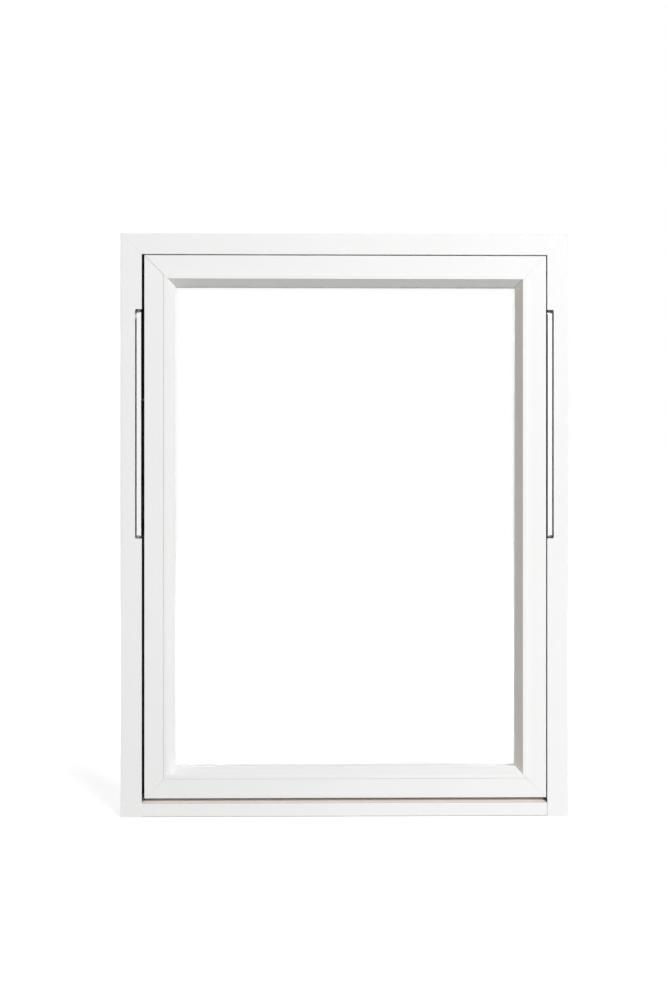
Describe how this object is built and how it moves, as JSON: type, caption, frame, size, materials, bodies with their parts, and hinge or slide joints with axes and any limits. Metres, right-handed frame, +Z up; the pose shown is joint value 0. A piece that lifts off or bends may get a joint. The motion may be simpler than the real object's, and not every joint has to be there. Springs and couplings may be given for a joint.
{
  "type": "window",
  "caption": "White aluminium-clad timber window with a closed top-swing sash, clear insulating glass, sloping sill, notched jambs with cover strips and an inside lever handle.",
  "frame": {"origin": "middle of the sill's underside, at half the depth of the frame", "axes": "+X to the right as seen from outside, +Y from outside to inside, +Z up"},
  "size_m": [0.988, 0.122, 1.288],
  "materials": {
    "white_aluminium": "satin",
    "white_timber": "satin",
    "clear_glass": "polished",
    "black_rubber": "matte",
    "grey_rubber": "matte",
    "spacer_metal": "satin",
    "zinc_steel": "satin",
    "dark_plastic": "matte",
    "handle_metal": "satin"
  },
  "bodies": {
    "root": {"frame_cladding_head": "white_aluminium", "frame_cladding_left": "white_aluminium", "frame_cladding_right": "white_aluminium", "sill_profile": "white_aluminium", "sash_cladding_top": "white_aluminium", "sash_cladding_bottom": "white_aluminium", "sash_cladding_left": "white_aluminium", "sash_cladding_right": "white_aluminium", "glazing_bead_top": "white_aluminium", "glazing_bead_bottom": "white_aluminium", "glazing_bead_left": "white_aluminium", "glazing_bead_right": "white_aluminium", "cover_strip_left": "white_aluminium", "cover_strip_right": "white_aluminium", "frame_head": "white_timber", "frame_sill": "white_timber", "frame_jamb_left": "white_timber", "frame_jamb_right": "white_timber", "sash_rail_top": "white_timber", "sash_rail_bottom": "white_timber", "sash_stile_left": "white_timber", "sash_stile_right": "white_timber", "outer_pane": "clear_glass", "inner_pane": "clear_glass", "weather_seal": "black_rubber", "inner_gasket": "black_rubber", "edge_seal": "black_rubber", "outer_gasket": "grey_rubber", "spacer_bars": "spacer_metal", "hinge_track_left": "zinc_steel", "hinge_track_right": "zinc_steel", "hinge_arm_left": "zinc_steel", "hinge_arm_right": "zinc_steel", "pivot_studs_left": "zinc_steel", "pivot_studs_right": "zinc_steel", "sash_plate_left": "zinc_steel", "sash_plate_right": "zinc_steel", "hinge_slider_left": "dark_plastic", "hinge_slider_right": "dark_plastic", "glazing_blocks": "dark_plastic", "handle_rose": "handle_metal", "handle_lever": "handle_metal"}
  },
  "joints": []
}
